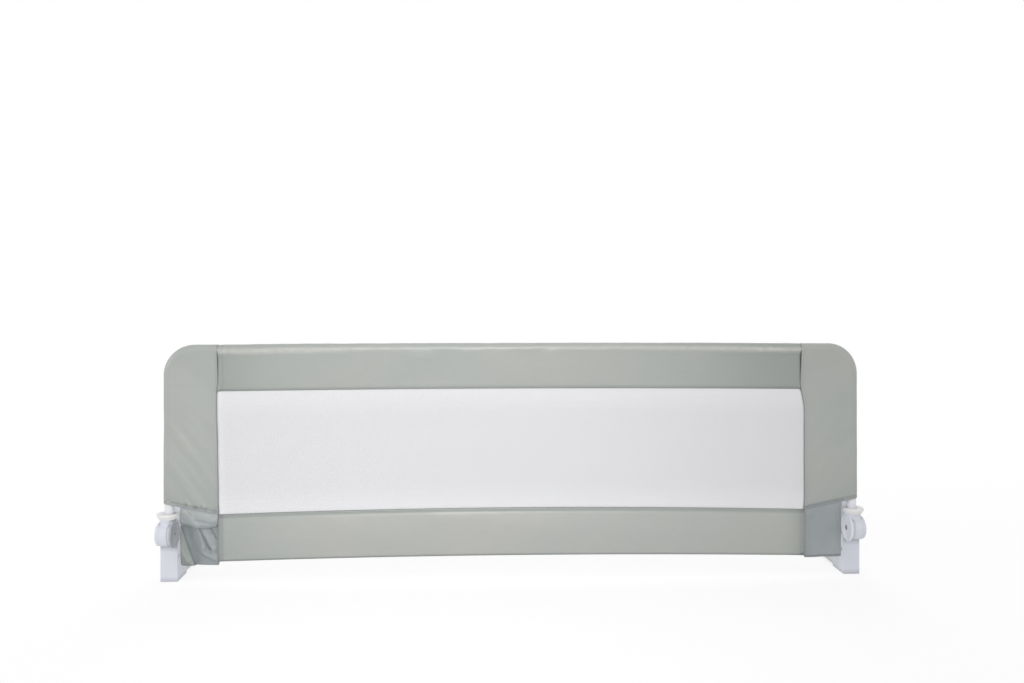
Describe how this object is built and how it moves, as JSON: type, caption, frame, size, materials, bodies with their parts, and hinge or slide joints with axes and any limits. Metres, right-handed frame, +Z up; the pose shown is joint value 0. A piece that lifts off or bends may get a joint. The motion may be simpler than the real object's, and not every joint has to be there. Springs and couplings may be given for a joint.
{
  "type": "folding bed guard rail",
  "caption": "Folding bed guard rail: cloth cover with a mesh window on a bent tube frame, hinged on lockable hubs over brackets whose arms go under the mattress.",
  "frame": {"origin": "on the bed base, midway between the front of the hubs and the ends of the arms, midway along the rail", "axes": "+X along the rail, +Y from the rail towards the mattress, +Z up"},
  "size_m": [1.2264, 0.4034, 0.41],
  "materials": {
    "white_plastic": "satin",
    "ring_plastic": "satin",
    "painted_steel": "white powder coat",
    "arm_steel": "light grey powder coat",
    "zinc_steel": "zinc plated",
    "grey_cloth": "woven, matt",
    "lining_cloth": "woven, matt",
    "white_mesh": "fine mesh"
  },
  "bodies": {
    "base": {"bracket_left": "white_plastic", "hinge_plate_left": "painted_steel", "plate_pin_left": "zinc_steel", "arm_tube_left": "arm_steel", "arm_cap_left": "white_plastic", "arm_screw_left": "zinc_steel", "bracket_right": "white_plastic", "hinge_plate_right": "painted_steel", "plate_pin_right": "zinc_steel", "arm_tube_right": "arm_steel", "arm_cap_right": "white_plastic", "arm_screw_right": "zinc_steel"},
    "rail": {"hinge_hub_left": "white_plastic", "hub_cap_left": "white_plastic", "hinge_bolt_left": "zinc_steel", "hinge_nut_left": "zinc_steel", "tube_screw_left": "zinc_steel", "lock_spring_left": "zinc_steel", "spring_plug_left": "white_plastic", "corner_tube_left": "painted_steel", "joint_spigot_left": "zinc_steel", "spigot_rivet_left": "zinc_steel", "snap_spring_left": "zinc_steel", "end_panel_left": "grey_cloth", "corner_flap_left": "lining_cloth", "hinge_hub_right": "white_plastic", "hub_cap_right": "white_plastic", "hinge_bolt_right": "zinc_steel", "hinge_nut_right": "zinc_steel", "tube_screw_right": "zinc_steel", "lock_spring_right": "zinc_steel", "spring_plug_right": "white_plastic", "corner_tube_right": "painted_steel", "joint_spigot_right": "zinc_steel", "spigot_rivet_right": "zinc_steel", "snap_spring_right": "zinc_steel", "end_panel_right": "grey_cloth", "corner_flap_right": "lining_cloth", "top_tube": "painted_steel", "top_band": "grey_cloth", "bottom_band": "grey_cloth", "mesh_panel": "white_mesh"},
    "lock_left": {"lock_ring_left": "ring_plastic", "lock_pin_left": "zinc_steel", "lock_plunger_left": "zinc_steel"},
    "button_left": {"snap_button_left": "zinc_steel"},
    "lock_right": {"lock_ring_right": "ring_plastic", "lock_pin_right": "zinc_steel", "lock_plunger_right": "zinc_steel"},
    "button_right": {"snap_button_right": "zinc_steel"}
  },
  "joints": [
    {"name": "rail_fold", "type": "hinge", "parent": "base", "child": "rail", "pos_m": [0, -0.17825, 0.086], "axis": [1, 0, 0], "range_deg": [0, 160]},
    {"name": "lock_slide_left", "type": "slide", "parent": "rail", "child": "lock_left", "axis": [0, 0, 1], "range_m": [-0.004, 0.004], "stiffness_N_per_m": 800, "springref_m": -0.006, "deforming": ["lock_spring_left"]},
    {"name": "button_press_left", "type": "slide", "parent": "rail", "child": "button_left", "axis": [0, 0, 1], "range_m": [0, 0.0022], "stiffness_N_per_m": 1500, "springref_m": -0.001, "deforming": ["snap_spring_left"]},
    {"name": "lock_slide_right", "type": "slide", "parent": "rail", "child": "lock_right", "axis": [0, 0, 1], "range_m": [-0.004, 0.004], "stiffness_N_per_m": 800, "springref_m": -0.006, "deforming": ["lock_spring_right"]},
    {"name": "button_press_right", "type": "slide", "parent": "rail", "child": "button_right", "axis": [0, 0, 1], "range_m": [0, 0.0022], "stiffness_N_per_m": 1500, "springref_m": -0.001, "deforming": ["snap_spring_right"]}
  ]
}
